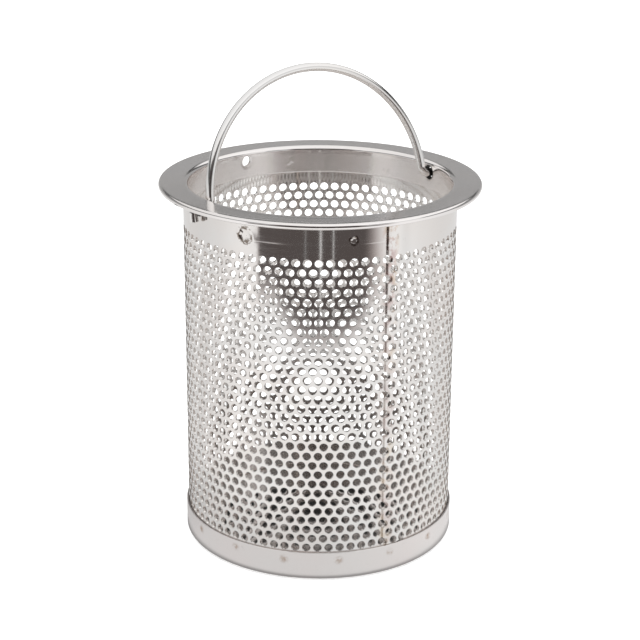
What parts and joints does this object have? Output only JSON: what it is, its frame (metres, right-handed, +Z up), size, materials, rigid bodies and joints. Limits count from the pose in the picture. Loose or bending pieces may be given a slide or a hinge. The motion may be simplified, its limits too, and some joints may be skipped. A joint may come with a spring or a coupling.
{
  "type": "basket strainer",
  "caption": "Cylindrical perforated sheet-metal strainer basket with a wide rim flange, a pressed base cup and a folding wire bail handle.",
  "frame": {"origin": "on the basket's axis, in the plane that the base stands on", "axes": "+Z up along the basket's axis towards the rim, X along the bail's pivot axis, +Y the way the bail leans"},
  "size_m": [0.0852, 0.0852, 0.1284],
  "materials": {
    "flange_steel": "bright rolled stainless steel, lightly polished",
    "shell_steel": "bright rolled stainless steel, perforated",
    "cup_steel": "bright stainless steel with faint circular rubbing",
    "wire_steel": "smooth drawn stainless wire"
  },
  "bodies": {
    "basket": {"rim_flange": "flange_steel", "perforated_shell": "shell_steel", "base_cup": "cup_steel"},
    "bail": {"bail_handle": "wire_steel"}
  },
  "joints": [
    {"name": "bail_hinge", "type": "hinge", "parent": "basket", "child": "bail", "pos_m": [0, 0, 0.096], "axis": [1, 0, 0], "range_deg": [-75, 101]}
  ]
}
